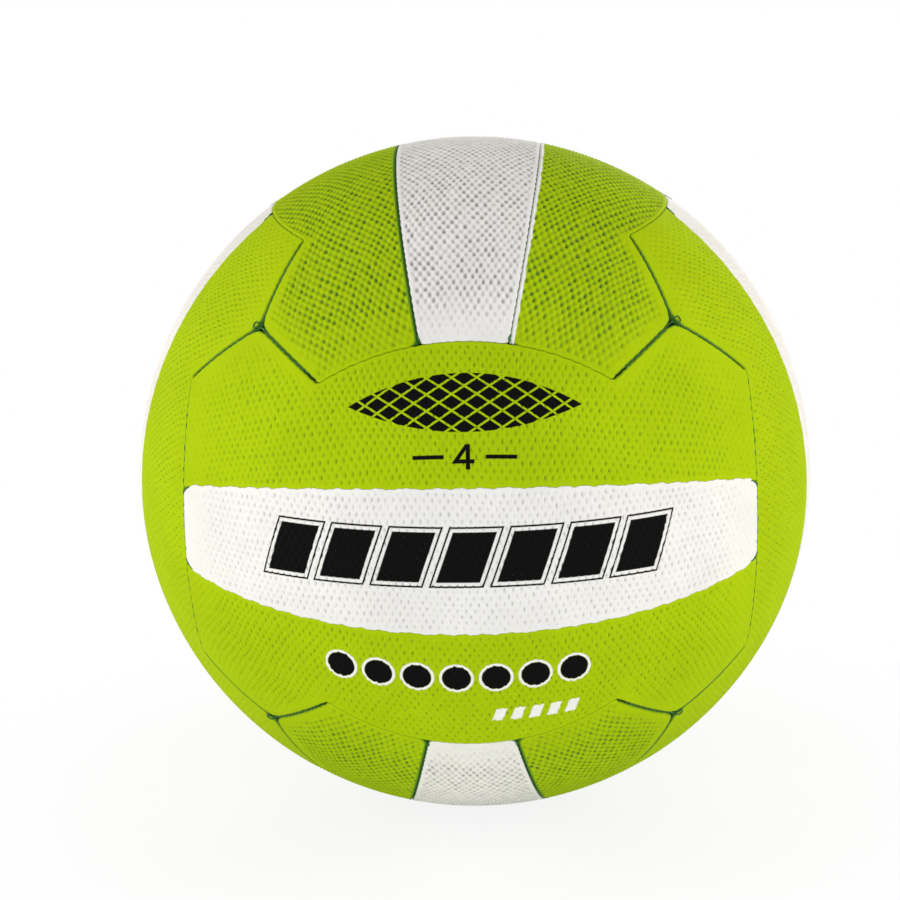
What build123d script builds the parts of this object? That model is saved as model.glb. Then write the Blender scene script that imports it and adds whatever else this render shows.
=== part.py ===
from build123d import *
import math
import os

os.makedirs("parts", exist_ok=True)

# A size 4 netball: eighteen sewn panels in six faces of three strips, each panel a rubber cover on a cloth
# lining, round a bladder with a needle valve. Millimetres, the origin at the ball's centre, +Z up. The front
# face looks along -Y and its strips run along X; the valve is in the middle of the back face.

# The ball, over its panels: 655 mm round
ball_diameter = 208.5

# Where the seams run, as angles in degrees seen from the ball's centre
strip_half_angle = 12.0  # from a face's middle line to either seam of its middle strip
side_angle = 35.5  # from a face's centre to the middle of its curved long side
side_tilt = 11.3  # of the long side's cone, whose axis leans away from that side
kink_angle = 27.1  # from a face's mid-plane to the kink in its long side

# Panels: a rubber cover glued on a cloth lining, both turned in along every seam
cover_wall = 1.3
lining_wall = 0.8
glue_line = 0.1
seam_gap = 0.2
flange_depth = 4.0  # from the ball's surface to the tips of the turned-in edges
edge_roll = 1.5  # width and depth of the rolled edge along every seam

# Sewing thread, drawn flat into the groove between two rolled edges
thread_width = 0.5
thread_height = 0.4
thread_gap = 0.05  # between the thread's lower edges and the rubber
thread_end_gap = 0.3  # between the ends of threads that meet

# Bladder
bladder_wall = 0.8
bladder_gap = 0.2  # between the flange tips and the bladder

# Valve: a moulded boot on the bladder, a core pressed into it and a cloth patch round its nose
patch_wall = 0.5
patch_margin = 2.0  # between the patch and the turned-in linings beside it
patch_overhang = 4.0  # of the patch past the boot's flange
nose_radius = 3.8
nose_depth = 0.4  # of the nose's face below the ball's surface
nose_gap = 0.2  # round the nose in the cover, lining and patch
boot_tube_wall = 2.4
boot_floor = 2.5
core_radius = 2.6
core_length = 15.0
core_gap = 0.05  # between the core and the boot
core_lip_width = 0.5
core_lip_height = 0.8
needle_radius = 1.0
needle_depth = 9.0

# Radii and insets that follow, from the outside inwards
ball_radius = ball_diameter / 2
cover_inset = seam_gap / 2
cover_inner_inset = cover_inset + cover_wall
cover_inner_radius = ball_radius - cover_wall
lining_inset = cover_inner_inset + glue_line
lining_inner_inset = lining_inset + lining_wall
lining_radius = cover_inner_radius - glue_line
lining_inner_radius = lining_radius - lining_wall
flange_radius = ball_radius - flange_depth
bladder_radius = flange_radius - bladder_gap
reach = 1.5 * ball_radius  # of the solids that stand for all that lies on one side of a seam
spare = 1.0  # by which a cutter outreaches what it cuts


def at_angle(across, up):
    """The unit direction that lies some degrees to the right of the front face's centre and some up."""
    level = math.cos(math.radians(up))
    x = level * math.sin(math.radians(across))
    y = -level * math.cos(math.radians(across))
    return Vector(x, y, math.sin(math.radians(up)))


# Directions that fix the seams of the front face's upper half
upper_normal = at_angle(0, 90 + strip_half_angle)
lower_normal = at_angle(0, -90 - strip_half_angle)
cone_half_angle = side_angle + side_tilt
cone_axis = at_angle(0, -side_tilt)
corner = Vector(1, -1, 1).normalized()


def kink_height():
    """How many degrees up the kink is, where its upright plane crosses the long side's cone."""
    lean = cone_axis.Z
    level = -cone_axis.Y * math.cos(math.radians(kink_angle))
    swing = math.acos(math.cos(math.radians(cone_half_angle)) / math.hypot(level, lean))
    return math.degrees(swing + math.atan2(lean, level))


kink = at_angle(kink_angle, kink_height())
crest_normal = kink.cross(corner).normalized()

# The turn round a corner that carries the front face to the right face, the right to the top, the top to the front
third_turn = Axis((0, 0, 0), tuple(corner))


def next_face(direction):
    """A direction after the turn from one face to the next of the three round a corner."""
    return direction.rotate(third_turn, 120)


# The same curves where the right face borders the front face, and where the top face borders the right face
side_axis = next_face(cone_axis)
flank_normal = next_face(crest_normal)
far_normal = next_face(flank_normal)


def mirrored(direction):
    """A direction's mirror image, left for right."""
    return Vector(-direction.X, direction.Y, direction.Z)


def seam_side(axis, half_angle, growth, roll=0, past=True):
    """All that lies past a seam on a cone about an axis, or all that lies short of it.

    The seam's wall is grown towards the panel, and its rim leans over the panel to leave a rolled edge in two
    flats, of which the upper one runs on well past the ball's surface. A half angle of 90 degrees makes the cone
    a plane. The profile is drawn with X away from the axis.
    """
    lean = math.radians(half_angle)
    wall = Vector(math.sin(lean), math.cos(lean))
    panel_side = Vector(math.cos(lean), -math.sin(lean))

    def off_wall(distance, radius):
        return wall * math.sqrt(radius**2 - distance**2) + panel_side * distance

    apex = Vector(0, -growth / math.sin(lean))
    if roll:
        sag = roll * (1 - math.sqrt(0.5))
        foot = off_wall(growth, ball_radius - roll)
        bend = off_wall(growth + sag, ball_radius - sag)
        brow = off_wall(growth + roll, ball_radius)
        rim = brow + (brow - bend).normalized() * (3 * flange_depth)
        outline = Polyline(apex, foot, bend, rim)
    else:
        rim = off_wall(growth, reach)
        outline = Line(apex, rim)
    half_way = (math.atan2(rim.X, rim.Y) + (0 if past else math.pi)) / 2
    crown = Vector(math.sin(half_way), math.cos(half_way)) * rim.length
    pole = Vector(0, rim.length if past else -rim.length)
    outline += ThreePointArc(rim, crown, pole) + Line(pole, apex)
    turned = revolve(Plane.XZ * make_face(outline), Axis.Z)
    return Plane(origin=(0, 0, 0), z_dir=axis) * turned


def shell(outer, inner):
    """The space between two spheres about the ball's centre."""
    return Sphere(outer) - Sphere(inner)


def without(solid, cutters):
    """A solid less each of some others in turn."""
    for cutter in cutters:
        solid = solid - cutter
    return solid


def past_sides(growth, roll=0):
    """What lies past the left and right faces' long sides, where they border the front face, in four solids."""
    arcs = [seam_side(axis, cone_half_angle, growth, roll) for axis in (side_axis, mirrored(side_axis))]
    flanks = [seam_side(-normal, 90, growth, roll) for normal in (flank_normal, mirrored(flank_normal))]
    return arcs + flanks


def past_long_side(outer, inner, growth, roll=0):
    """What lies past the front face's upper long side, which is an arc with a crest out to each corner."""
    arc = seam_side(-cone_axis, 180 - cone_half_angle, growth, roll, past=False)
    crests = [seam_side(normal, 90, growth, roll, past=False) for normal in (crest_normal, mirrored(crest_normal))]
    return without(shell(outer, inner), [arc] + crests)


def middle_strip(outer, inner, inset, roll=0):
    """The front face's middle strip between two spheres, drawn in from its seams."""
    past_strip = [seam_side(normal, 90, inset, roll) for normal in (upper_normal, lower_normal)]
    return without(shell(outer, inner), past_strip + past_sides(inset, roll))


def outer_strip(outer, inner, inset, roll=0):
    """The front face's upper strip between two spheres, drawn in from its seams."""
    past_strip = seam_side(-upper_normal, 90, inset, roll)
    past_side = past_long_side(outer + spare, inner - spare, inset, roll)
    return without(shell(outer, inner), [past_strip] + past_sides(inset, roll) + [past_side])


def cover(strip):
    """A rubber panel: a shallow tray of even thickness with rolled edges and flanges turned in at the seams."""
    tray = strip(ball_radius, flange_radius, cover_inset, edge_roll)
    return tray - strip(cover_inner_radius, bladder_radius, cover_inner_inset)


def lining(strip):
    """A cloth tray that nests inside a cover, a glue line away from it."""
    tray = strip(lining_radius, flange_radius, lining_inset)
    return tray - strip(lining_inner_radius, bladder_radius, lining_inner_inset)


# Thread: it lies as deep in the groove as its width lets it, between the steep flats of two rolled edges
thread_reach = thread_width / 2
thread_floor = ball_radius - edge_roll + (thread_reach + thread_gap - cover_inset) * (1 + math.sqrt(2))
thread_top = thread_floor + thread_height
thread_trim = thread_reach + thread_end_gap


def strip_thread():
    """The thread in the seam above the front face's middle strip, short of the seams at its ends."""
    seam_walls = [seam_side(normal, 90, -thread_reach) for normal in (upper_normal, -upper_normal)]
    return without(shell(thread_top, thread_floor), seam_walls + past_sides(thread_trim))


def side_thread():
    """The thread along the front face's upper long side, short of the seams that it meets at its two corners."""
    band = past_long_side(thread_top, thread_floor, thread_reach)
    band -= past_long_side(thread_top + spare, thread_floor - spare, -thread_reach)
    ends = (-flank_normal, -mirrored(flank_normal), far_normal, mirrored(far_normal))
    return without(band, [seam_side(normal, 90, thread_trim) for normal in ends])


# Valve, on the +Y axis through the back face's middle panel
valve_axis = Vector(0, 1, 0)
patch_outer = lining_inner_radius - glue_line
patch_inner = patch_outer - patch_wall
strip_half_width = lining_inner_radius * math.sin(math.radians(strip_half_angle))
patch_radius = strip_half_width - lining_inner_inset - patch_margin
boot_flange_radius = patch_radius - patch_overhang
boot_flange_outer = patch_inner - glue_line
boot_flange_inner = bladder_radius + glue_line
boot_bore_radius = core_radius + core_gap
boot_tube_radius = boot_bore_radius + boot_tube_wall
nose_face = ball_radius - nose_depth
core_end = nose_face - core_length
lip_seat = nose_face - core_lip_height


def along_valve(radius, start, end):
    """A round bar on the valve's axis from one distance off the ball's centre to another."""
    upright = Cylinder(radius, end - start, align=(Align.CENTER, Align.CENTER, Align.MIN))
    return Plane(origin=valve_axis * start, z_dir=valve_axis) * upright


def valve_patch():
    """A round of cloth under the lining, with a hole for the boot's nose."""
    disc = along_valve(patch_radius, 0, ball_radius) & shell(patch_outer, patch_inner)
    return disc - along_valve(nose_radius + nose_gap, 0, ball_radius)


def valve_boot():
    """A rubber moulding: a nose out to the cover, a flange on the bladder and a closed tube inside it."""
    flange = along_valve(boot_flange_radius, 0, ball_radius) & shell(boot_flange_outer, boot_flange_inner)
    nose = along_valve(nose_radius, bladder_radius, nose_face)
    tube = along_valve(boot_tube_radius, core_end - core_gap - boot_floor, bladder_radius + glue_line)
    bore = along_valve(boot_bore_radius, core_end - core_gap, ball_radius)
    lip_room = along_valve(boot_bore_radius + core_lip_width, lip_seat - core_gap, ball_radius)
    foot = Sphere(boot_flange_outer) & tube_top()
    return flange + nose + tube + foot - bore - lip_room


def tube_top():
    """The stretch of the boot's tube that passes the bladder and joins the flange."""
    return along_valve(boot_tube_radius, bladder_radius - bladder_wall, ball_radius)


def valve_core():
    """A soft plug with a lip at its face and a blind hole for the pump's needle."""
    plug = along_valve(core_radius, core_end, nose_face)
    lip = along_valve(core_radius + core_lip_width, lip_seat, nose_face)
    needle_hole = along_valve(needle_radius, nose_face - needle_depth, nose_face)
    return plug + lip - needle_hole


def bladder():
    """A hollow ball with a hole for the boot's tube."""
    bag = shell(bladder_radius, bladder_radius - bladder_wall)
    return bag - along_valve(boot_tube_radius + glue_line, 0, ball_radius)


# The turns that carry the front face to each of the six, and what its two outer strips are called there
faces = {
    "front": ([], ("upper", "lower")),
    "right": ([(third_turn, 120)], ("front", "back")),
    "top": ([(third_turn, 240)], ("right", "left")),
    "back": ([(Axis.Z, 180)], ("upper", "lower")),
    "left": ([(third_turn, 120), (Axis.Z, 180)], ("back", "front")),
    "bottom": ([(third_turn, 240), (Axis.X, 180)], ("right", "left")),
}


def carried(solid, turns):
    """A solid of the front face after the turns to another face."""
    for axis, angle in turns:
        solid = solid.rotate(axis, angle)
    return solid


pieces = {}
layers = {
    "panel": (cover(middle_strip), cover(outer_strip)),
    "lining": (lining(middle_strip), lining(outer_strip)),
}
for layer, (middle, outer) in layers.items():
    for face, (turns, (first, second)) in faces.items():
        pieces[f"{layer}_{face}_{first}"] = carried(outer, turns)
        pieces[f"{layer}_{face}_middle"] = carried(middle, turns)
        pieces[f"{layer}_{face}_{second}"] = carried(outer.rotate(Axis.Y, 180), turns)

valve_hole = along_valve(nose_radius + nose_gap, 0, ball_radius)
for layer in layers:
    pieces[f"{layer}_back_middle"] -= valve_hole

upper_threads = [strip_thread(), side_thread()]
lower_threads = [thread.rotate(Axis.Y, 180) for thread in upper_threads]
for face, (turns, names) in faces.items():
    threads = [carried(thread, turns) for thread in upper_threads + lower_threads]
    pieces[f"thread_{face}"] = Compound(children=threads)

pieces["bladder"] = bladder()
pieces["valve_boot"] = valve_boot()
pieces["valve_core"] = valve_core()
pieces["valve_patch"] = valve_patch()

for name, piece in pieces.items():
    export_step(piece, f"parts/{name}.step")
print(f"ball diameter {ball_diameter:.2f} mm, {len(pieces)} pieces")
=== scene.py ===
import math

import bpy
import numpy as np
from mathutils import Matrix
from mathutils.geometry import delaunay_2d_cdt


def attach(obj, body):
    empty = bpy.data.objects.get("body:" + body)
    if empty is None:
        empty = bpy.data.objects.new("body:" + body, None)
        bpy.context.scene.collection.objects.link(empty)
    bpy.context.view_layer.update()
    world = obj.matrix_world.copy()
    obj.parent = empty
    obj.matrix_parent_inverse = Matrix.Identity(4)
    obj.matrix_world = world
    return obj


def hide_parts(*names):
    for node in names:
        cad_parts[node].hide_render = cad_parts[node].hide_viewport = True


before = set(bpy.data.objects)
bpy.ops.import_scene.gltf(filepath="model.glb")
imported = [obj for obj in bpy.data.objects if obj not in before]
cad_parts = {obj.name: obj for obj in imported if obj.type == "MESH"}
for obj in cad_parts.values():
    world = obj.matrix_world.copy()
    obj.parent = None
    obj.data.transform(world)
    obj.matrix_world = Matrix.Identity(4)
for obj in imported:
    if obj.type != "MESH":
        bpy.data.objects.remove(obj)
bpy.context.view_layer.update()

# Bladder. A round bag of black butyl rubber that holds the air, dusted with talc so that it does not
# stick to the linings around it. Its wall is thin, and the valve's flange is bonded to its back.
butyl_black = (0.016, 0.016, 0.018)
talc_grey = (0.11, 0.11, 0.11)


def node_adder(tree):
    """A function that adds a node to a tree, with its settings made and its inputs linked or set."""

    def add(kind, inputs=(), **settings):
        node = tree.nodes.new(kind)
        for key, value in settings.items():
            setattr(node, key, value)
        for key, value in dict(inputs).items():
            if isinstance(value, bpy.types.NodeSocket):
                tree.links.new(value, node.inputs[key])
            else:
                node.inputs[key].default_value = value
        return node

    return add


def new_material(name, roughness, specular):
    """A material with one plain shader, then that shader, the node tree, and a function that adds a node."""
    material = bpy.data.materials.new(name)
    material.use_nodes = True
    tree = material.node_tree
    shader = tree.nodes["Principled BSDF"]
    shader.inputs["Roughness"].default_value = roughness
    shader.inputs["Specular IOR Level"].default_value = specular
    return material, shader, tree, node_adder(tree)


def blended(add, share, first, second):
    """The mix of two colours by a share."""
    return add("ShaderNodeMix", {"Factor": share, 6: first, 7: second}, data_type="RGBA").outputs[2]


def ramp(add, value, low, high):
    """A step that eases from nought to one as a value goes from low to high."""
    inputs = {"Value": value, "From Min": low, "From Max": high}
    return add("ShaderNodeMapRange", inputs, interpolation_type="SMOOTHSTEP").outputs[0]


def noise(add, spot, scale, detail):
    """A cloudy pattern whose blotches are about one over the scale across, in metres."""
    return add("ShaderNodeTexNoise", {"Vector": spot, "Scale": scale, "Detail": detail}).outputs["Fac"]


def roughen(add, tree, shader, pattern, strength, depth):
    """Lets a pattern stand up from the surface as small bumps of a depth in metres."""
    bump = add("ShaderNodeBump", {"Height": pattern, "Strength": strength, "Distance": depth})
    tree.links.new(bump.outputs[0], shader.inputs["Normal"])


def moulded_rubber(name, dark, dusty, blotches, grain):
    """Matt rubber that goes from dark to dusty by a cloudy pattern, with a finer one as its moulded grain."""
    material, shader, tree, add = new_material(name, roughness=0.62, specular=0.35)
    spot = add("ShaderNodeTexCoord").outputs["Object"]
    share = ramp(add, noise(add, spot, blotches, detail=4.0), low=0.42, high=0.72)
    tree.links.new(blended(add, share, (*dark, 1), (*dusty, 1)), shader.inputs["Base Color"])
    roughen(add, tree, shader, noise(add, spot, grain, detail=2.0), strength=0.3, depth=0.00008)
    return material


def finish_node(node, material):
    """Gives a solid of the frame its finish."""
    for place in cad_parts[node].material_slots:
        place.material = material


finish_node("bladder", moulded_rubber("butyl_rubber", butyl_black, talc_grey, blotches=70.0, grain=900.0))

# Valve. A moulded rubber boot whose nose fills the hole of the back's middle strip, and a softer core
# pressed into it, with a blind hole for the pump's needle. Both are black, the core a little greyer.
boot_black = (0.02, 0.02, 0.021)
boot_grey = (0.035, 0.035, 0.036)
core_black = (0.05, 0.05, 0.052)
core_grey = (0.075, 0.075, 0.077)
boot_rubber = moulded_rubber("boot_rubber", boot_black, boot_grey, blotches=400.0, grain=3500.0)
core_rubber = moulded_rubber("core_rubber", core_black, core_grey, blotches=500.0, grain=5000.0)
finish_node("valve_boot", boot_rubber)
finish_node("valve_core", core_rubber)

# Linings and patch. Woven poly-cotton, unbleached, one piece laminated behind each cover panel and turned
# in with its edges, and a round patch of a like cloth under the valve's flange. Yarns are in metres.
lining_warp = (0.62, 0.58, 0.49)
lining_weft = (0.5, 0.47, 0.4)
lining_yarn = 0.0006
patch_warp = (0.55, 0.51, 0.43)
patch_weft = (0.42, 0.39, 0.33)
patch_yarn = 0.0008
half_wave_scale = 0.157  # A wave texture of this scale has a half wave to the metre.


def woven_cloth(name, warp, weft, yarn):
    """Plain weave of yarns a given distance apart.

    Two wave patterns run across each other, a half wave to a yarn. Their difference eases from the warp's
    colour, where it is low, to the weft's, where it is high, and lifts the weft by a quarter of a yarn.
    """
    material, shader, tree, add = new_material(name, roughness=0.85, specular=0.2)
    spot = add("ShaderNodeTexCoord").outputs["Object"]
    turned = add("ShaderNodeMapping", {"Vector": spot, "Rotation": (0.6, 0.5, 0.4)}).outputs[0]
    inputs = {"Vector": turned, "Scale": half_wave_scale / yarn, "Distortion": 0.4}
    first, second = (add("ShaderNodeTexWave", inputs, bands_direction=axis) for axis in ("X", "Z"))
    over = add("ShaderNodeMath", {0: first.outputs["Fac"], 1: second.outputs["Fac"]}, operation="SUBTRACT")
    share = ramp(add, over.outputs[0], low=-0.6, high=0.6)
    tree.links.new(blended(add, share, (*warp, 1), (*weft, 1)), shader.inputs["Base Color"])
    roughen(add, tree, shader, share, strength=0.5, depth=yarn / 4)
    return material


poly_cotton = woven_cloth("poly_cotton", lining_warp, lining_weft, lining_yarn)
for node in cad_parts:
    if node.startswith("lining"):
        finish_node(node, poly_cotton)
finish_node("valve_patch", woven_cloth("patch_cloth", patch_warp, patch_weft, patch_yarn))

# Cover panels, where they lie. The cover is eighteen pieces of grip rubber in six faces of three strips,
# sewn together from behind. Every face is the front face turned, so only that face's seams are worked out.
# Lengths of the cover are in millimetres, and directions are unit vectors from the ball's centre.
metre = 1000
ball_radius = 104.25
strip_half_angle = math.radians(12.0)
side_angle = math.radians(35.5)
side_tilt = math.radians(11.3)
kink_angle = math.radians(27.1)
cone_half_angle = side_angle + side_tilt
kink_blend = 1.4
strip_corner_blend = 1.2
outer_corner_blend = 4.0
middle_corner_blend = 1.6
valve_hole_radius = 4.0
seam_ripple = {"height": 0.1, "length": 0.42, "sway": 1.5, "sway_length": 3.7}
seam_wave = {"height": 0.2, "length": 1.2, "sway": 1.4, "sway_length": 5.1}
thread_pull = {"height": 0.1, "length": 0.4, "sway": 1.6, "sway_length": 1.9}
ripple_half_width = 0.3
end_bend = 2.2
end_bend_length = 6.0
end_bend_limit = 1.3
left_for_right = np.array([-1.0, 1.0, 1.0])
end_for_end = np.array([-1.0, 1.0, -1.0])


def toward(across, up):
    """The direction at an angle to the right of the front face's centre and an angle up."""
    return np.array([math.cos(up) * math.sin(across), -math.cos(up) * math.cos(across), math.sin(up)])


next_face = np.array([[0.0, -1.0, 0.0], [0.0, 0.0, -1.0], [1.0, 0.0, 0.0]])
front = toward(0, 0)
corner = np.array([1.0, -1.0, 1.0]) / math.sqrt(3)
upper_normal = toward(0, math.pi / 2 + strip_half_angle)
cone_axis = toward(0, -side_tilt)
kink_level = -cone_axis[1] * math.cos(kink_angle)
kink_swing = math.acos(math.cos(cone_half_angle) / math.hypot(kink_level, cone_axis[2]))
kink = toward(kink_angle, kink_swing + math.atan2(cone_axis[2], kink_level))
crest_normal = np.cross(kink, corner)
crest_normal /= np.linalg.norm(crest_normal)
side_axis = next_face @ cone_axis
flank_normal = next_face @ crest_normal


def from_plane(p, normal):
    """Distance over the ball from a straight seam: the radius times the angle above the seam's plane."""
    return ball_radius * np.arcsin(np.clip(p @ normal, -1, 1))


def from_cone(p, axis):
    """Distance over the ball from a round seam: the radius times the angle past the seam's cone."""
    return ball_radius * (np.arccos(np.clip(p @ axis, -1, 1)) - cone_half_angle)


def soft_min(a, b, blend):
    """The lesser of two distances, less a quarter blend times the square of how nearly equal they are."""
    near = np.clip(1 - np.abs(a - b) / blend, 0, None)
    return np.minimum(a, b) - blend * near**2 / 4


def smooth(x):
    """A step that eases from nought at nought to one at one."""
    x = np.clip(x, 0, 1)
    return x * x * (3 - 2 * x)


def wander(way, other, height, length, sway, sway_length):
    """How far a line strays: a sine of the way along it, whose phase sways by a sine of a second way."""
    return height * np.sin(way / length + sway * np.sin(other / sway_length))


def beside_seam(distance):
    """One on a seam and a little to each side of it, easing to nought a millimetre further away."""
    return 1 - smooth(np.abs(distance) - ripple_half_width)


def along_strip(p):
    """The way along a strip from its middle: the radius times the angle about the upright axis."""
    return ball_radius * np.arctan2(p[..., 0], -p[..., 1])


def strip_edge(p):
    """Distance from the straight seam under a face's upper strip, plus a small ripple beside the seam."""
    along = along_strip(p)
    distance = from_plane(p, upper_normal)
    return distance + wander(along, along, **seam_ripple) * beside_seam(distance)


def ragged(p, distance):
    """A distance from a face's long side, plus a ripple beside the seam, where the thread pulls it.

    The ripple goes by the way over the ball from the nearer corner.
    """
    toward_corner = np.abs(p[..., :1]) @ corner[:1] + p[..., 1:] @ corner[1:]
    away = ball_radius * np.arccos(np.clip(toward_corner, -1, 1))
    return distance + wander(away, away, **thread_pull) * beside_seam(distance)


def end_parts(p):
    """Distances from the seam at the right end of a strip, an arc that runs into a straight flank."""
    beside = p @ next_face
    return ragged(beside, from_cone(p, side_axis)), ragged(beside, from_plane(p, flank_normal))


def end_edge(p):
    """Distance from the seams at the two ends of a strip, the lesser of the two."""
    return np.minimum(*(soft_min(*end_parts(q), kink_blend) for q in (p, p * left_for_right)))


def long_parts(p):
    """Distances from a face's long side, an arc, and a straight crest from each kink out to the corner."""
    crests = np.minimum(from_plane(p, crest_normal), from_plane(p * left_for_right, crest_normal))
    return -ragged(p, from_cone(p, cone_axis)), -ragged(p, crests)


def long_edge(p):
    """Distance from a face's long side, the greater of its parts."""
    arc, crests = long_parts(p)
    return -soft_min(-arc, -crests, kink_blend)


def bent_strip_edge(p):
    """The strip's distance plus a slower wave beside the seam, and a bend that narrows the strip's ends.

    The bend grows with the square of how near the end is.
    """
    along = along_strip(p)
    distance = strip_edge(p)
    near = np.clip(1 - end_edge(p) / end_bend_length, 0, end_bend_limit)
    return distance + wander(along, along, **seam_wave) * beside_seam(distance) + end_bend * near**2


def outer_edge(strip):
    """The distance from the nearest seam of the upper strip, with corners rounded, and eased on request."""

    def edge(p, ease=0.0):
        inner = soft_min(strip(p), end_edge(p), strip_corner_blend + ease)
        return soft_min(inner, long_edge(p), outer_corner_blend + ease)

    return edge


def middle_strip(strip):
    """The distance from the nearer of the two long seams of the middle strip."""
    return lambda p: -np.maximum(strip(p), strip(p * end_for_end))


def middle_edge(strip):
    """The distance from the nearest seam of the middle strip, with corners rounded, and eased on request."""
    return lambda p, ease=0.0: soft_min(middle_strip(strip)(p), end_edge(p), middle_corner_blend + ease)


def valve_edge(strip):
    """The distance from the nearest seam of the middle strip or, if nearer, from the valve's hole."""

    def edge(p, ease=0.0):
        hole = ball_radius * np.arccos(np.clip(p @ front, -1, 1)) - valve_hole_radius
        return np.minimum(middle_edge(strip)(p, ease), hole)

    return edge


# Cover panels, as made. Each is cut from a sheet that is moulded all over with small round pimples in
# staggered rows, glued to its lining, and turned in along its edges, which roll down into the seams and end
# in a flange. From kink to corner the seams are pulled tight and open, with the rubber smooth beside them.
pimple_pitch = 2.31
row_pitch = pimple_pitch * math.sqrt(3) / 2
pimple_height = 0.75
pimple_foot = -0.57
brow_height = pimple_foot + pimple_height
round_pit_power = 1.1
narrow_pit_power = 2
narrow_pit_share = 0.8
pit_shares = (0.6, 1.0)
pit_seed = 4
pit_grid = (201, 201)
row_sway = {"height": 0.5, "length": 7.3, "sway": 1.1, "sway_length": 6.1}
row_shake = {"height": 0.2, "length": 2.3, "sway": 1.7, "sway_length": 3.1}
row_rise = 0.5
rise_lengths = (8.9, 5.7)
sheet_half_length = 102
sheet_half_width = 34
samples_along = pimple_pitch / 6
samples_across = row_pitch / 4
border_slack = 0.35 * samples_along
slide_shares = 10
closing_steps = 3
slide_nudge = 0.01
rim_width = 0.9
rim_shares = (0.35, 0.65, 0.88, 1.0)
lip_half_gap = 0.02
open_half_gap = 0.22
flush_fall = 0.1
open_fall = 0.7
arc_openness = 0.3
strip_beside = 1.0
strip_beside_fade = 2.5
gaping_shade = 2.4
tight_reach = 2.5
tight_slope = 1.6
tight_run_in = 1.5
smoothed_reach = 5.0
smoothed_share = 0.85
pimple_fade = 0.5
end_smoothing_length = 18.0
thread_room = (0.32, 0.56, 1.1)
seam_half_gap = 0.1
cover_wall = 1.3
flange_depth = 4.0
inner_ease = 3.0
skin_pitches = (8.0, 7.0)
skin_counts = (12, 4)
skin_margin = 4
skin_tolerance = 1e-5
outer_tilt = (strip_half_angle + side_angle) / 2


def on_ball(sheet, tilt):
    """Directions of points on the sheet, laid along a great circle tilted up from the front face's middle."""
    along, across = sheet[..., 0] / ball_radius, sheet[..., 1] / ball_radius
    x = np.sin(along) * np.cos(across)
    y = -np.cos(along) * np.cos(across)
    z = np.sin(across)
    tilted_y = y * math.cos(tilt) + z * math.sin(tilt)
    tilted_z = z * math.cos(tilt) - y * math.sin(tilt)
    return np.stack([x, tilted_y, tilted_z], -1)


def slide_to(sheet, target, edge, tilt):
    """Points of the sheet moved along the slope of an edge distance until it is the target.

    The aim goes from the start to the target in equal shares, each by one of Newton's steps, so that
    neighbours keep their order, and a few more steps close in on it.
    """
    start = edge(on_ball(sheet, tilt))
    for share in np.minimum(np.arange(1, slide_shares + closing_steps + 1) / slide_shares, 1):
        aim = start + (target - start) * share
        here = edge(on_ball(sheet, tilt))
        along = (edge(on_ball(sheet + [slide_nudge, 0], tilt)) - here) / slide_nudge
        across = (edge(on_ball(sheet + [0, slide_nudge], tilt)) - here) / slide_nudge
        slope = np.stack([along, across], -1)
        sheet = sheet + ((aim - here) / (slope**2).sum(-1))[:, None] * slope
    return sheet


def pimples(sheet, apart):
    """How far up out of the pits each point is, from nought to one.

    The product of two cosines, along and across the rows, is one on the pimples and minus one in the pits
    between neighbours in a row. Half its fall below one, raised to a power, is taken from one. Where the
    pimples do not stand apart, the pits are shallower, and narrowed along the row by a cosine. Every pit
    has a depth of its own.
    """
    column, row = 2 * sheet[:, 0] / pimple_pitch, sheet[:, 1] / row_pitch
    pit_column, pit_row = np.rint(column).astype(int), np.rint(row).astype(int)
    fall = (1 - np.cos(math.pi * column) * np.cos(math.pi * row)) / 2
    if apart:
        pits = fall**round_pit_power
    else:
        pits = narrow_pit_share * fall**narrow_pit_power * np.cos(math.pi * (column - pit_column))
    return 1 - pits * np.random.default_rng(pit_seed).uniform(*pit_shares, pit_grid)[pit_column, pit_row]


def stretched(sheet):
    """The sheet after it is pulled over the ball, which makes its rows wander by slow sines."""
    along, across = sheet[:, 0], sheet[:, 1]
    aside = wander(along, across, **row_sway) + wander(across, along, **row_shake)
    up = row_rise * np.sin(across / rise_lengths[1] + along / rise_lengths[0])
    return sheet + np.stack([aside, up], -1)


def tightness(p, reach):
    """One beside the seams from kinks to corners, easing to nought at a reach from them and at the kinks."""
    arc, crests = long_parts(p)
    near = smooth(tight_slope * (1 - np.abs(long_edge(p)) / reach))
    tight = near * smooth((crests - arc) / tight_run_in)
    for q in (p, p * left_for_right):
        arc, flank = end_parts(q)
        near = smooth(tight_slope * (1 - np.abs(np.minimum(arc, flank)) / reach))
        tight = np.maximum(tight, near * smooth((arc - flank) / tight_run_in))
    return tight


def openness(p, strip, strip_openness):
    """How open the seam near a point is: the greater of its tightness and what is given for such a seam."""
    beside = 1 - smooth((strip(p) - strip_beside) / strip_beside_fade)
    return np.maximum(tightness(p, tight_reach), beside * strip_openness + (1 - beside) * arc_openness)


def lattice_sheet(half_length, half_width):
    """A sheet of even triangles on a lattice that has a point at every pimple's centre and every pit's.

    Every other row is half a step further on.
    """
    rows, columns = int(half_width / samples_across), int(half_length / samples_along)
    j, i = np.mgrid[-rows : rows + 1, -columns : columns + 1]
    sheet = np.stack([(i + 0.5 * (j % 2)) * samples_along, j * samples_across], -1).reshape(-1, 2)
    index = np.arange(j.size).reshape(j.shape)
    a, b, c, d = index[:-1, :-1], index[:-1, 1:], index[1:, :-1], index[1:, 1:]
    even = (j[:-1, :-1] % 2 == 0)[..., None]
    first = np.where(even, np.stack([a, b, c], -1), np.stack([a, d, c], -1))
    second = np.where(even, np.stack([b, d, c], -1), np.stack([a, b, d], -1))
    return sheet, np.concatenate([first.reshape(-1, 3), second.reshape(-1, 3)])


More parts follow.
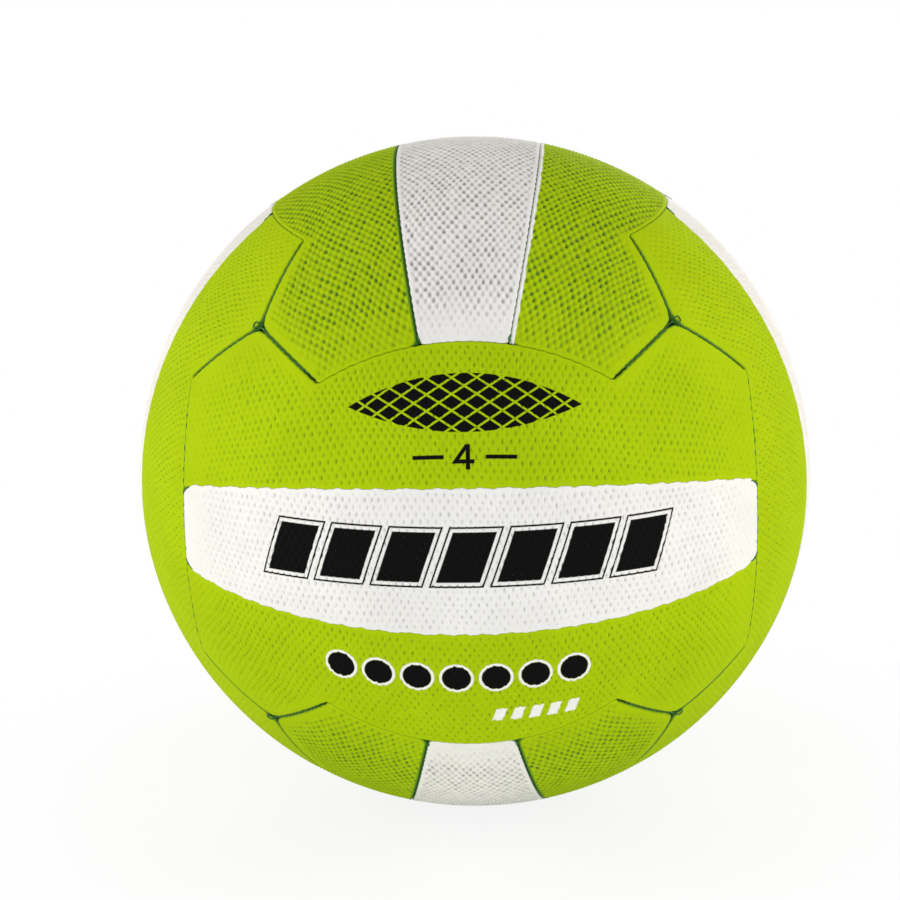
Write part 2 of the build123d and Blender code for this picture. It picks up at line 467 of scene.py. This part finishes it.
def open_edges(faces):
    """The directed edges that only one triangle has."""
    edges = np.concatenate([faces[:, [0, 1]], faces[:, [1, 2]], faces[:, [2, 0]]])
    size = faces.max() + 1
    return edges[~np.isin(edges[:, 0] * size + edges[:, 1], edges[:, 1] * size + edges[:, 0])]


def inner_skin(sheet, loop, edge, tilt):
    """Large triangles that close the loops of the inner wall, with a few points of a wide lattice between."""
    spots = [np.arange(-count, count + 1) * pitch for count, pitch in zip(skin_counts, skin_pitches)]
    wide = np.stack(np.meshgrid(*spots), -1).reshape(-1, 2)
    wide = wide[edge(on_ball(wide, tilt)) > cover_wall + skin_margin]
    points = np.concatenate([sheet, wide])
    found = delaunay_2d_cdt([tuple(p) for p in points.tolist()], loop.tolist(), [], 0, skin_tolerance)
    origin = np.array([ids[0] for ids in found[3]])
    faces = origin[np.array(found[2])]
    middle = points[faces].mean(1)
    faces = faces[edge(on_ball(middle, tilt)) > cover_wall + seam_half_gap]
    return wide, faces[:, ::-1]


def panel(edge, strip, tilt, turned, strip_openness, end_smoothing):
    """One panel: the pimpled sheet inside its edge, a rolled rim, a flange with two walls, and an inner skin.

    The pits grow shallower towards the rim, beside tight seams, and towards the strip's ends by a given
    share. The roll is a quarter of an ellipse from the brow down to the lip, deeper and wider where the
    seam is more open, and below the lip the wall draws back to make room for the thread. Returns
    directions, heights over the ball's radius, triangles, places on the sheet, how far up a pimple each
    point is, its distance from the edge, made greater where the seam is closed and less where it gapes,
    and its distance from the strip's seam.
    """
    if turned:
        sheet, faces = lattice_sheet(sheet_half_width, sheet_half_length)
    else:
        sheet, faces = lattice_sheet(sheet_half_length, sheet_half_width)
    relief = pimples(sheet, turned)
    if turned:
        sheet = np.stack([-sheet[:, 1], sheet[:, 0]], -1)
    sheet = stretched(sheet)
    inside = edge(on_ball(sheet, tilt)) > rim_width - border_slack
    faces = faces[inside[faces].all(1)]
    used, faces = np.unique(faces, return_inverse=True)
    faces = faces.reshape(-1, 3)
    sheet, relief = sheet[used], relief[used]
    loop = open_edges(faces)
    border = np.unique(loop)
    sheet[border] = slide_to(sheet[border], rim_width, edge, tilt)
    directions = on_ball(sheet, tilt)
    distance = edge(directions)
    kept = 1 - end_smoothing * smooth(1 - end_edge(directions) / end_smoothing_length)
    tight = tightness(directions, smoothed_reach)
    kept *= smooth((distance - rim_width) / pimple_fade) * (1 - smoothed_share * tight)
    relief = 1 - (1 - relief) * kept
    blocks = [(sheet, pimple_foot + pimple_height * relief, relief, distance)]

    opened = openness(on_ball(sheet[border], tilt), strip, strip_openness)
    fall = flush_fall + (open_fall - flush_fall) * opened
    half_gap = lip_half_gap + (open_half_gap - lip_half_gap) * opened**2
    flat = np.ones(len(border))
    rows = []
    for share in rim_shares:
        off = rim_width - (rim_width - half_gap) * share
        rows.append((edge, off, brow_height - fall * (1 - math.sqrt(1 - share**2))))
    room, room_top, room_floor = thread_room
    for off, depth in ((room, room_top), (room, room_floor), (seam_half_gap, room_floor + room)):
        rows.append((edge, off, -depth * flat))

    def eased(p):
        return edge(p, inner_ease)

    inner_off = seam_half_gap + cover_wall
    for off, depth in ((seam_half_gap, flange_depth), (inner_off, flange_depth), (inner_off, cover_wall)):
        rows.append((eased, off, -depth * flat))
    place = np.zeros(len(sheet), int)
    place[border] = np.arange(len(border))
    last, total = loop, len(sheet)
    for seam, off, height in rows:
        row = slide_to(sheet[border], off, seam, tilt)
        blocks.append((row, height, flat, flat * off))
        here = total + place[loop]
        total += len(border)
        faces = np.concatenate([faces, np.stack([last[:, 1], last[:, 0], here[:, 0]], -1)])
        faces = np.concatenate([faces, np.stack([last[:, 1], here[:, 0], here[:, 1]], -1)])
        last = here
    wide, skin = inner_skin(row, place[loop], eased, tilt)
    flat = np.ones(len(wide))
    blocks.append((wide, -flat * cover_wall, flat, flat * rim_width))
    faces = np.concatenate([faces, skin + total - len(border)])
    sheet, height, relief, distance = (np.concatenate(parts) for parts in zip(*blocks))
    directions = on_ball(sheet, tilt)
    # The distance from the edge sets the painted seam shade: none where the seam is closed, a wider band
    # where it gapes.
    closed = 1 - openness(directions, strip, strip_openness)
    distance = distance + rim_width * np.minimum(closed, gaping_shade * closed)
    return directions, height, faces, sheet, relief, distance, strip(directions)


def triangle_mesh(name, points, faces):
    """A smooth-shaded mesh object of triangles, from points in metres."""
    mesh = bpy.data.meshes.new(name)
    mesh.vertices.add(len(points))
    mesh.vertices.foreach_set("co", points.astype(np.float32).ravel())
    mesh.loops.add(faces.size)
    mesh.loops.foreach_set("vertex_index", faces.astype(np.int32).ravel())
    mesh.polygons.add(len(faces))
    mesh.polygons.foreach_set("loop_start", np.arange(0, faces.size, 3, dtype=np.int32))
    mesh.polygons.foreach_set("use_smooth", np.ones(len(faces), bool))
    mesh.update(calc_edges=True)
    mesh.validate()
    piece = bpy.data.objects.new(name, mesh)
    bpy.context.scene.collection.objects.link(piece)
    return piece


# Grip rubber. Matt calendered rubber in lime green or white, with painted shade between its pimples and in
# its seams, and a fine grain.
# The front face is printed with plain marks, which wear thin in the pits.
# The colours for the pits between the pimples and for the seams are painted shade.
green_tip = (0.43, 0.61, 0.004)
green_pit_shade = (0.04, 0.14, 0.02)
green_seam_shade = (0.05, 0.18, 0.02)
green_shades = (green_tip, green_pit_shade, green_seam_shade)
white_tip = (0.91, 0.91, 0.91)
white_pit_shade = (0.34, 0.33, 0.33)
white_seam_shade = (0.7, 0.7, 0.7)
white_shades = (white_tip, white_pit_shade, white_seam_shade)
ink = (0.005, 0.005, 0.005)
cloud_shade = 0.06
ink_blur = 0.14
spray_blur = 0.15


def sums(add):
    """A function that adds a Math node and returns its result."""

    def sum_of(operation, a, b=0.0, c=0.0):
        return add("ShaderNodeMath", {0: a, 1: b, 2: c}, operation=operation).outputs[0]

    return sum_of


def grip_rubber(name, tip, pit_shade, seam, marks=None):
    """Rubber whose colour goes from a painted pit shade to the tip colour with the pimples, and to a painted
    seam shade at its edges.

    A cloudy pattern darkens it a little, and marks, if given, lays print over it by places on the sheet.
    """
    material, shader, tree, add = new_material(name, roughness=0.7, specular=0.03)
    relief = add("ShaderNodeAttribute", attribute_name="relief").outputs["Fac"]
    edge = add("ShaderNodeAttribute", attribute_name="seam_mm").outputs["Fac"]
    spot = add("ShaderNodeTexCoord").outputs["Object"]
    # Painted shade: darker in the pits between the pimples and towards the seams.
    colour = blended(add, ramp(add, relief, low=-0.05, high=0.85), (*pit_shade, 1), (*tip, 1))
    colour = blended(add, ramp(add, edge, low=-0.1, high=1.1), (*seam, 1), colour)
    clouds = ramp(add, noise(add, spot, scale=45.0, detail=3.0), low=0.3, high=0.7)
    colour = blended(add, clouds, blended(add, cloud_shade, colour, (0, 0, 0, 1)), colour)
    if marks:
        place = add("ShaderNodeAttribute", attribute_name="sheet_mm").outputs["Vector"]
        axes = add("ShaderNodeSeparateXYZ", {0: place}).outputs
        colour = marks(add, colour, relief, *axes)
    tree.links.new(colour, shader.inputs["Base Color"])
    roughen(add, tree, shader, noise(add, spot, scale=2600.0, detail=2.0), strength=0.25, depth=0.00006)
    return material


def inked(add, colour, relief, distance, paint, missed=0.05):
    """The colour, with paint over it where a distance is below nought, less a share missed in the pits."""
    thickness = sums(add)("MULTIPLY_ADD", ramp(add, relief, low=0.0, high=0.45), missed, 1 - missed)
    cover = sums(add)("MULTIPLY", ramp(add, distance, low=ink_blur, high=-ink_blur), thickness)
    return blended(add, cover, colour, (*paint, 1))


def box_distance(add, across, up, half_width, half_height):
    """Distance outside a rectangle: the greater of how far a point is past its sides and past its ends."""
    sum_of = sums(add)
    beside = sum_of("SUBTRACT", sum_of("ABSOLUTE", across), half_width)
    above = sum_of("SUBTRACT", sum_of("ABSOLUTE", up), half_height)
    return sum_of("MAXIMUM", beside, above)


def ring_distance(add, distance, middle, half_width):
    """Distance outside a line that runs round a shape at a given distance from it."""
    sum_of = sums(add)
    return sum_of("SUBTRACT", sum_of("ABSOLUTE", sum_of("SUBTRACT", distance, middle)), half_width)


def net_and_numeral(add, colour, relief, along, across, strip):
    """A black lens cut by a net of fine lines, over a plain 4 between two short bars.

    The lens is all that is lower than a parabola and its mirror image. Two sets of slanted lines, repeated
    cell by cell, make the net. The 4 is three rectangles, one of them slanted.
    """
    lens_up, lens_half_length, lens_half_height = 3.2, 34.0, 8.6
    net_slope, net_half_cell, net_half_line = 1.5, 3.6, 0.55
    numeral_down = 12.4
    stem_right, crossbar_down = 0.9, 1.3
    slash_lean, slash_left, slash_up = -0.72, 1.75, 0.85
    dash_aside = 10.5
    sum_of = sums(add)
    up = sum_of("SUBTRACT", across, lens_up)
    square = sum_of("POWER", sum_of("DIVIDE", along, lens_half_length), 2.0)
    swell = sum_of("MULTIPLY_ADD", square, -lens_half_height, lens_half_height)
    lens = sum_of("SUBTRACT", sum_of("ABSOLUTE", up), swell)
    for slope in (net_slope, -net_slope):
        cell = sum_of("WRAP", sum_of("MULTIPLY_ADD", up, slope, along), net_half_cell, -net_half_cell)
        lens = sum_of("MAXIMUM", lens, sum_of("SUBTRACT", net_half_line, sum_of("ABSOLUTE", cell)))
    low = sum_of("ADD", across, numeral_down)
    beside = sum_of("SUBTRACT", along, stem_right)
    under = sum_of("ADD", low, crossbar_down)
    slant = sum_of("MULTIPLY_ADD", low, slash_lean, sum_of("ADD", along, slash_left))
    over = sum_of("SUBTRACT", low, slash_up)
    aside = sum_of("SUBTRACT", sum_of("ABSOLUTE", along), dash_aside)
    shapes = [
        box_distance(add, beside, low, half_width=0.65, half_height=3.6),
        box_distance(add, along, under, half_width=2.8, half_height=0.6),
        box_distance(add, slant, over, half_width=0.72, half_height=2.75),
        box_distance(add, aside, low, half_width=4.5, half_height=0.6),
    ]
    for shape in shapes:
        lens = sum_of("MINIMUM", lens, shape)
    return inked(add, colour, relief, lens, ink)


def block_row(add, colour, relief, along, across, strip):
    """Seven black blocks in a row, each with a thin line round it, slanted by sliding them as they go up."""
    blocks, block_lean, half_pitch, row_up = 7, -0.35, 8.75, 1.9
    sum_of = sums(add)
    up = sum_of("SUBTRACT", across, row_up)
    slid = sum_of("MULTIPLY_ADD", up, block_lean, along)
    cell = sum_of("WRAP", slid, half_pitch, -half_pitch)
    block = box_distance(add, cell, up, half_width=6.3, half_height=7.4)
    marks = sum_of("MINIMUM", block, ring_distance(add, block, middle=1.3, half_width=0.28))
    past = sum_of("SUBTRACT", sum_of("ABSOLUTE", slid), blocks * half_pitch)
    return inked(add, colour, relief, sum_of("MAXIMUM", marks, past), ink, missed=0.22)


def dot_row(add, colour, relief, along, across, strip):
    """Seven black dots in a row with white rings, and five short white bars below them to the right.

    This strip lies end for end, so both places are taken with the other sign.
    """
    dots, dot_half_pitch, dot_radius, row_right, row_up = 7, 5.75, 4.2, 3.8, 6.3
    bars, bar_half_pitch, bar_lean, bars_right, bars_down = 5, 2.7, -0.3, 23.0, 14.6
    sum_of = sums(add)
    right = sum_of("SUBTRACT", row_right, along)
    up = sum_of("SUBTRACT", sum_of("MULTIPLY", across, -1.0), row_up)
    cell = sum_of("WRAP", right, dot_half_pitch, -dot_half_pitch)
    reach = sum_of("SQRT", sum_of("MULTIPLY_ADD", cell, cell, sum_of("MULTIPLY", up, up)))
    dot = sum_of("SUBTRACT", reach, dot_radius)
    ring = ring_distance(add, dot, middle=0.45, half_width=0.4)
    past = sum_of("SUBTRACT", sum_of("ABSOLUTE", right), dots * dot_half_pitch)
    colour = inked(add, colour, relief, sum_of("MAXIMUM", dot, past), ink)
    colour = inked(add, colour, relief, sum_of("MAXIMUM", ring, past), white_tip)
    low = sum_of("ADD", up, bars_down)
    slid = sum_of("SUBTRACT", sum_of("MULTIPLY_ADD", low, bar_lean, right), bars_right)
    cell = sum_of("WRAP", slid, bar_half_pitch, -bar_half_pitch)
    bar = box_distance(add, cell, low, half_width=1.6, half_height=2.4)
    past = sum_of("SUBTRACT", sum_of("ABSOLUTE", slid), bars * bar_half_pitch)
    return inked(add, colour, relief, sum_of("MAXIMUM", bar, past), white_tip)


def overspray(add, colour, relief, along, across, strip):
    """White paint that strayed over the seam from the strip beside it, about a millimetre and a half."""
    least, ragged_share = 0.8, 1.2
    clouds = noise(add, add("ShaderNodeTexCoord").outputs["Object"], scale=260.0, detail=2.0)
    reach = sums(add)("MULTIPLY_ADD", clouds, ragged_share, least)
    cover = ramp(add, sums(add)("SUBTRACT", strip, reach), low=spray_blur, high=-spray_blur)
    return blended(add, cover, colour, (*white_tip, 1))


green_rubber = grip_rubber("green_rubber", *green_shades)
white_rubber = grip_rubber("white_rubber", *white_shades)
special_rubber = {
    "panel_front_upper": grip_rubber("green_rubber_net", *green_shades, net_and_numeral),
    "panel_front_middle": grip_rubber("white_rubber_blocks", *white_shades, block_row),
    "panel_front_lower": grip_rubber("green_rubber_dots", *green_shades, dot_row),
    "panel_top_right": grip_rubber("green_rubber_overspray", *green_shades, overspray),
}

# Cover panels, put in place. Each face's strips are the front face's turned about the ball's centre, the
# second outer strip end for end. The pimples' rows run along the strips, but across them on the top and
# bottom faces, whose outer strips also gape beside the middle strip.
half_turn_x = np.diag([1.0, -1.0, -1.0])
half_turn_y = np.diag(end_for_end)
half_turn_z = np.diag([-1.0, -1.0, 1.0])
face_turns = {
    "front": (np.eye(3), ("upper", "lower")),
    "right": (next_face, ("front", "back")),
    "top": (next_face @ next_face, ("right", "left")),
    "back": (half_turn_z, ("upper", "lower")),
    "left": (half_turn_z @ next_face, ("back", "front")),
    "bottom": (half_turn_x @ next_face @ next_face, ("right", "left")),
}
straight_middle = middle_strip(strip_edge)
bent_middle = middle_strip(bent_strip_edge)
along_outer = {"turned": False, "strip_openness": 0.0, "end_smoothing": 0.4}
across_outer = {"turned": True, "strip_openness": 1.3, "end_smoothing": 0.3}
along_middle = {"turned": False, "strip_openness": 0.0, "end_smoothing": 0.65}
across_middle = {"turned": True, "strip_openness": 0.0, "end_smoothing": 0.65}
outer_along = panel(outer_edge(bent_strip_edge), bent_strip_edge, outer_tilt, **along_outer)
outer_across = panel(outer_edge(strip_edge), strip_edge, outer_tilt, **across_outer)
middle_along = panel(middle_edge(bent_strip_edge), bent_middle, 0, **along_middle)
middle_across = panel(middle_edge(strip_edge), straight_middle, 0, **across_middle)
middle_valve = panel(valve_edge(bent_strip_edge), bent_middle, 0, **along_middle)


def place_panel(node, made, turn, rubber):
    """Makes a panel at its place on the ball and lets it stand for the solid of the same name."""
    directions, height, faces, sheet, relief, distance, strip = made
    points = directions @ turn.T * (ball_radius + height)[:, None] / metre
    piece = triangle_mesh(node.replace("panel", "cover"), points, faces)
    for name, values in (("relief", relief), ("seam_mm", distance)):
        attribute = piece.data.attributes.new(name, "FLOAT", "POINT")
        attribute.data.foreach_set("value", values.astype(np.float32))
    attribute = piece.data.attributes.new("sheet_mm", "FLOAT_VECTOR", "POINT")
    attribute.data.foreach_set("vector", np.column_stack([sheet, strip]).astype(np.float32).ravel())
    piece.data.materials.append(special_rubber.get(node, rubber))
    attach(piece, "root")
    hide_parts(node)


for face, (turn, (first, second)) in face_turns.items():
    across = face in ("top", "bottom")
    outer = outer_across if across else outer_along
    middle = middle_valve if face == "back" else middle_across if across else middle_along
    place_panel(f"panel_{face}_{first}", outer, turn, green_rubber)
    place_panel(f"panel_{face}_middle", middle, turn, white_rubber)
    place_panel(f"panel_{face}_{second}", outer, turn @ half_turn_y, green_rubber)

# Stitching. Dark green waxed polyester thread, which lies under the lips of every seam. Its stitches come
# up between the lips from the kinks out to the corners, in knots at the ends of the strips, and here and
# there along the arcs of the left and right faces. A small loop is left lying at every corner.
thread_dark = (0.012, 0.09, 0.014)
thread_light = (0.045, 0.2, 0.025)
thread_sides = 6
strand_radius = 0.2
strand_depth = 0.82
strand_step = 3
stitch_radius = 0.24
stitch_half_length = 0.75
stitch_pitch = 1.0
stitch_sizes = (0.75, 1.2)
stitch_turn = 0.3
stitch_shift = 0.12
stitch_stations = (-0.7, 0.0, 0.7)
stitch_seed = 18
open_stitch_depths = (0.1, 0.3)
open_stitch_tightness = 0.4
open_stitch_scale = 1.0
arc_stitch_depth = 0.12
arc_stitch_pitch = 3.5
arc_stitch_scale = 1.5
knot_depth = -0.05
knot_scale = 1.4
knot_stitches = 3
loop_length = 2.8
loop_half_width = 1.0
loop_rise = 0.42
loop_turns = (-0.9, -0.3)
loop_steepness = 3
loop_points = 17
path_pitch = 0.5
path_half_length = 100
seam_end_gap = 0.7
strip_start = ball_radius * (strip_half_angle - outer_tilt)
side_start = ball_radius * (side_angle - outer_tilt)


def seam_path(edge, start):
    """Directions of points along a seam of the front face's upper strip, up to a small gap from its ends.

    They start in a row beside the seam and slide to it.
    """
    along = np.arange(-path_half_length, path_half_length + path_pitch / 2, path_pitch)
    sheet = slide_to(np.column_stack([along, np.full(len(along), start)]), 0.0, edge, outer_tilt)
    path = on_ball(sheet, outer_tilt)
    return path[end_edge(path) > seam_end_gap]


def frames(path):
    """Unit vectors along a path on the ball, outward, and sideways."""
    along = np.gradient(path, axis=0)
    along -= (along * path).sum(-1, keepdims=True) * path
    along /= np.linalg.norm(along, axis=-1, keepdims=True)
    return along, path, np.cross(path, along)


def tube_faces(rings, sides):
    """Triangles of a tube of rings whose first and last points are its two poles."""
    ring, side = np.mgrid[0 : rings - 1, 0:sides]
    a, b = 1 + ring * sides + side, 1 + ring * sides + (side + 1) % sides
    walls = [np.stack([a, b, b + sides], -1), np.stack([a, b + sides, a + sides], -1)]
    side = np.arange(sides)
    turn = (side + 1) % sides
    last = 1 + (rings - 1) * sides
    start, end = np.zeros(sides, int), np.full(sides, last + sides)
    caps = [np.stack([start, 1 + turn, 1 + side], -1), np.stack([end, last + side, last + turn], -1)]
    return np.concatenate([part.reshape(-1, 3) for part in walls + caps])


def strand(path, depth):
    """A thread along a path: rings about it, at a depth below the ball's radius, with a pole at each end."""
    along, out, aside = frames(path)
    angle = np.arange(thread_sides) * 2 * math.pi / thread_sides
    line = path * (ball_radius - depth)
    ring = out[:, None] * np.cos(angle)[:, None] + aside[:, None] * np.sin(angle)[:, None]
    rings = (line[:, None] + strand_radius * ring).reshape(-1, 3)
    ends = line[0] - strand_radius * along[0], line[-1] + strand_radius * along[-1]
    return np.concatenate([ends[:1], rings, ends[1:]]), tube_faces(len(path), thread_sides)


def corner_loop(draws):
    """A loop of thread at a corner: a teardrop, half a sine long and a whole one wide, up from the seam."""
    share = np.linspace(0, 1, loop_points)[:, None]
    away = corner * (corner @ front) - front
    away /= np.linalg.norm(away)
    turn = draws.uniform(*loop_turns)
    away = math.cos(turn) * away + math.sin(turn) * np.cross(corner, away)
    long = loop_length * np.sin(math.pi * share) * away
    wide = loop_half_width * np.sin(2 * math.pi * share) * np.cross(corner, away)
    path = corner + (long + wide) / ball_radius
    path /= np.linalg.norm(path, axis=-1, keepdims=True)
    risen = smooth(loop_steepness * np.sin(math.pi * share))
    return strand(path, strand_depth - (strand_depth + loop_rise) * risen)


def stitches(path, depth, scale, draws):
    """Short stitches at points of a seam, each three rings of an ellipsoid and two poles.

    Each has a size, a turn and a shift of its own.
    """
    along, out, aside = frames(path)
    askew = draws.uniform(-stitch_turn, stitch_turn, len(path))[:, None]
    run = along * np.cos(askew) + aside * np.sin(askew)
    lean = aside * np.cos(askew) - along * np.sin(askew)
    size = scale * draws.uniform(*stitch_sizes, len(path))[:, None, None]
    rings = len(stitch_stations)
    angle = np.arange(thread_sides) * 2 * math.pi / thread_sides
    station = np.repeat(stitch_stations, thread_sides)
    swell = np.sqrt(1 - station**2)
    up, wide = swell * np.tile(np.cos(angle), rings), swell * np.tile(np.sin(angle), rings)
    station, up, wide = (np.pad(part, 1) for part in (station, up, wide))
    station[0], station[-1] = -1, 1
    shift = draws.uniform(-stitch_shift, stitch_shift, len(path))[:, None]
    centre = path * (ball_radius - depth) + aside * shift
    points = centre[:, None] + size * (
        stitch_half_length * station[:, None] * run[:, None]
        + stitch_radius * (up[:, None] * out[:, None] + wide[:, None] * lean[:, None])
    )
    each = points.shape[1]
    faces = tube_faces(rings, thread_sides) + each * np.arange(len(path))[:, None, None]
    return points.reshape(-1, 3), faces.reshape(-1, 3)


waxed_thread, shader, tree, add = new_material("waxed_thread", roughness=0.5, specular=0.3)
spot = add("ShaderNodeTexCoord").outputs["Object"]
lay = ramp(add, noise(add, spot, scale=1800.0, detail=3.0), low=0.3, high=0.7)
tree.links.new(blended(add, lay, (*thread_dark, 1), (*thread_light, 1)), shader.inputs["Base Color"])
roughen(add, tree, shader, lay, strength=0.5, depth=0.00008)

straight_path = seam_path(strip_edge, strip_start)
bent_path = seam_path(bent_strip_edge, strip_start)
side_path = seam_path(long_edge, side_start)
tight = tightness(side_path, tight_reach) > open_stitch_tightness
open_path = side_path[tight][:: round(stitch_pitch / path_pitch)]
arc_path = side_path[~tight][:: round(arc_stitch_pitch / path_pitch)]
draws = np.random.default_rng(stitch_seed)
for face, (turn, _) in face_turns.items():
    strip_path = straight_path if face in ("top", "bottom") else bent_path
    knot_path = np.concatenate([strip_path[:knot_stitches], strip_path[-knot_stitches:]])
    parts = []
    for half, open_stitch_depth in zip((turn, turn @ half_turn_y), open_stitch_depths):
        runs = [
            strand(strip_path[::strand_step], strand_depth),
            strand(side_path[::strand_step], strand_depth),
            stitches(open_path, open_stitch_depth, open_stitch_scale, draws),
            stitches(knot_path, knot_depth, knot_scale, draws),
        ]
        if face in ("left", "right"):
            runs.append(stitches(arc_path, arc_stitch_depth, arc_stitch_scale, draws))
        if face in ("front", "back"):
            points, faces = corner_loop(draws)
            runs += [(points, faces), (points * left_for_right, faces[:, ::-1])]
        parts += [(points @ half.T, faces) for points, faces in runs]
    offsets = np.cumsum([0] + [len(points) for points, _ in parts])
    points = np.concatenate([points for points, _ in parts]) / metre
    faces = np.concatenate([faces + offset for (_, faces), offset in zip(parts, offsets)])
    piece = triangle_mesh(f"stitching_{face}", points, faces)
    piece.data.materials.append(waxed_thread)
    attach(piece, "root")
    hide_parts(f"thread_{face}")

# Floor, light and camera. A pale studio floor that the ball stands on, large soft lamps, and a long lens a
# metre away, a little above the ball and turned slightly. Lengths are in metres again.
floor_half_size = 6
floor_level = -(ball_radius + brow_height) / metre
floor_grey = (0.9, 0.9, 0.9, 1)
white_light = (1, 1, 1)
warm_light = (1.0, 0.93, 0.8)
backdrop_white = (1, 1, 1, 1)
backdrop_strength = 1.0
ambient_strength = 0.38
shadow_share = 0.13
shadow_reach = (0.11, 0.22)


def shown_plainly(add):
    """One for rays that show a surface to the camera, straight, in a mirror or through glass, else nought."""
    path = add("ShaderNodeLightPath").outputs
    seen = sums(add)("MAXIMUM", path["Is Camera Ray"], path["Is Glossy Ray"])
    return sums(add)("MAXIMUM", seen, path["Is Transmission Ray"])


floor_mesh = bpy.data.meshes.new("floor")
floor_corners = [(x * floor_half_size, y * floor_half_size) for x, y in ((-1, -1), (1, -1), (1, 1), (-1, 1))]
floor_mesh.from_pydata([(x, y, floor_level) for x, y in floor_corners], [], [(0, 1, 2, 3)])
floor = bpy.data.objects.new("floor", floor_mesh)
bpy.context.scene.collection.objects.link(floor)
pale_floor, shader, tree, add = new_material("pale_floor", roughness=0.9, specular=0.1)
shader.inputs["Base Color"].default_value = floor_grey
spot = add("ShaderNodeTexCoord").outputs["Object"]
away = add("ShaderNodeVectorMath", {0: spot}, operation="LENGTH").outputs["Value"]
share = sums(add)("MULTIPLY_ADD", ramp(add, away, *shadow_reach), shadow_share, 1 - shadow_share)
share = sums(add)("MULTIPLY", shown_plainly(add), share)
glow = add("ShaderNodeEmission", {"Color": backdrop_white, "Strength": backdrop_strength})
mixed = add("ShaderNodeMixShader", {0: share, 1: shader.outputs[0], 2: glow.outputs[0]})
tree.links.new(mixed.outputs[0], tree.nodes["Material Output"].inputs[0])
floor_mesh.materials.append(pale_floor)

world = bpy.data.worlds.new("studio")
bpy.context.scene.world = world
world.use_nodes = True
tree = world.node_tree
add = node_adder(tree)
ambient = tree.nodes["Background"]
ambient.inputs["Color"].default_value = backdrop_white
ambient.inputs["Strength"].default_value = ambient_strength
white = add("ShaderNodeBackground", {"Color": backdrop_white, "Strength": backdrop_strength})
either = add("ShaderNodeMixShader", {0: shown_plainly(add), 1: ambient.outputs[0], 2: white.outputs[0]})
tree.links.new(either.outputs[0], tree.nodes["World Output"].inputs[0])


def soft_lamp(name, place, size, power, colour):
    """A square lamp that faces the ball."""
    lamp = bpy.data.lights.new(name, "AREA")
    lamp.size = size
    lamp.energy = power
    lamp.color = colour
    holder = bpy.data.objects.new(name, lamp)
    bpy.context.scene.collection.objects.link(holder)
    away = Matrix.Translation(place)
    holder.matrix_world = away @ away.translation.to_track_quat("Z", "Y").to_matrix().to_4x4()


soft_lamp("lamp_over", (-0.2, -0.6, 1.15), size=0.6, power=0.5, colour=white_light)
soft_lamp("lamp_front", (-0.06, -1.3, 0.03), size=0.25, power=5.0, colour=white_light)
soft_lamp("lamp_left", (-1.0, 0.0, 0.45), size=0.5, power=5.8, colour=warm_light)
soft_lamp("lamp_right", (1.0, 0.0, 0.45), size=0.5, power=5.9, colour=warm_light)
soft_lamp("lamp_back", (0.3, 1.5, 0.35), size=0.6, power=6.0, colour=white_light)

image_width = 900
ball_centre = (475.2, 471.0)
ball_pixels = 334.4
radii_away = 10.3
azimuth, elevation, roll = (math.radians(angle) for angle in (1.65, 14.7, -1.15))
back = toward(azimuth, elevation)
level = np.array([math.cos(azimuth), math.sin(azimuth), 0.0])
upright = np.cross(back, level)
right = math.cos(roll) * level + math.sin(roll) * upright
up = math.cos(roll) * upright - math.sin(roll) * level
lens = bpy.data.cameras.new("camera")
lens.sensor_width = 36.0
lens.lens = ball_pixels * math.sqrt(radii_away**2 - 1) * lens.sensor_width / image_width
lens.shift_x = (image_width / 2 - ball_centre[0]) / image_width
lens.shift_y = (ball_centre[1] - image_width / 2) / image_width
camera = bpy.data.objects.new("camera", lens)
bpy.context.scene.collection.objects.link(camera)
facing = np.eye(4)
facing[:3] = np.stack([right, up, back, back * radii_away * ball_radius / metre], -1)
camera.matrix_world = Matrix(facing.tolist())
bpy.context.scene.camera = camera
bpy.context.scene.view_settings.view_transform = "Standard"
